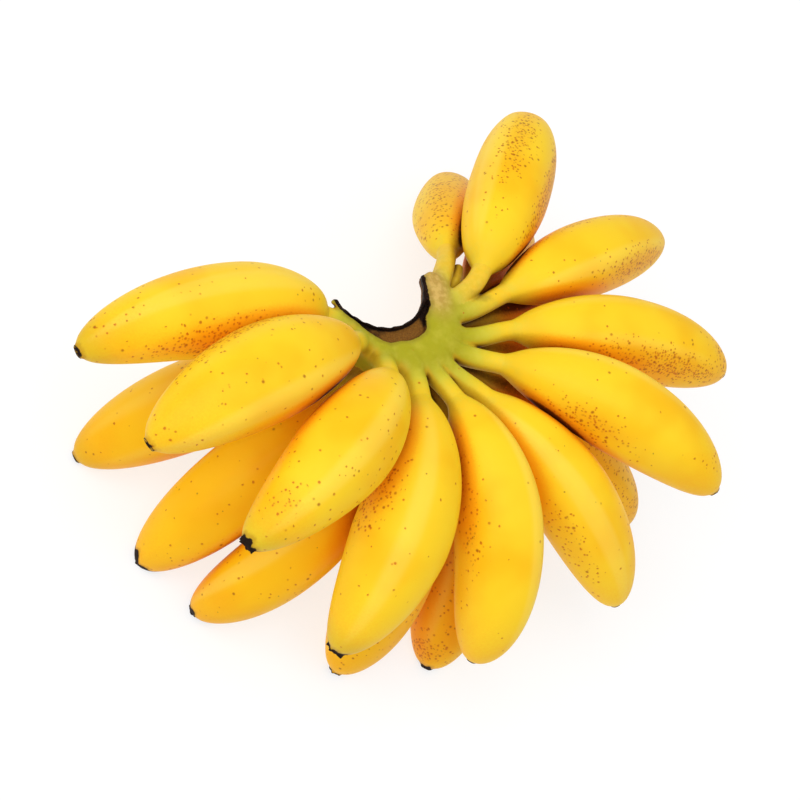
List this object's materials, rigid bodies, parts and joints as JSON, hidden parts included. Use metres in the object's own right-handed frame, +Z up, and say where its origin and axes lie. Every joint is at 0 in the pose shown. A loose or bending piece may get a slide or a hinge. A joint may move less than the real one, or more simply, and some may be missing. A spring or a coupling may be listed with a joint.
{
  "type": "hand of baby bananas",
  "caption": "Hand of short, plump ripe bananas in two rows, fanned round a green horseshoe crown with a dark cut scar, standing on the tips of its lower row.",
  "frame": {"origin": "on the surface that the hand stands on, under the middle of its bounding box", "axes": "+Z up, with the crown on top; +X along the longest extent, from the outermost left banana to the outermost right one; the crown's open side faces between -X and +Y"},
  "size_m": [0.2819, 0.243, 0.1188],
  "materials": {
    "peel_upper": "satin, smooth waxy banana peel, bright yellow with an orange blush where fruits touch and sparse dark freckles",
    "peel_lower": "satin, smooth waxy banana peel of a deeper orange yellow",
    "crown_skin": "satin, yellow-green skin of the crown and necks, with a dull, dried, near-black cut scar"
  },
  "bodies": {
    "root": {"crown": "crown_skin", "finger_upper_01": "peel_upper", "finger_upper_02": "peel_upper", "finger_upper_03": "peel_upper", "finger_upper_04": "peel_upper", "finger_upper_05": "peel_upper", "finger_upper_06": "peel_upper", "finger_upper_07": "peel_upper", "finger_upper_08": "peel_upper", "finger_upper_09": "peel_upper", "finger_upper_10": "peel_upper", "finger_upper_11": "peel_upper", "finger_lower_01": "peel_lower", "finger_lower_02": "peel_lower", "finger_lower_03": "peel_lower", "finger_lower_04": "peel_lower", "finger_lower_05": "peel_lower", "finger_lower_06": "peel_lower", "finger_lower_07": "peel_lower", "finger_lower_08": "peel_lower", "finger_lower_09": "peel_lower"}
  },
  "joints": []
}
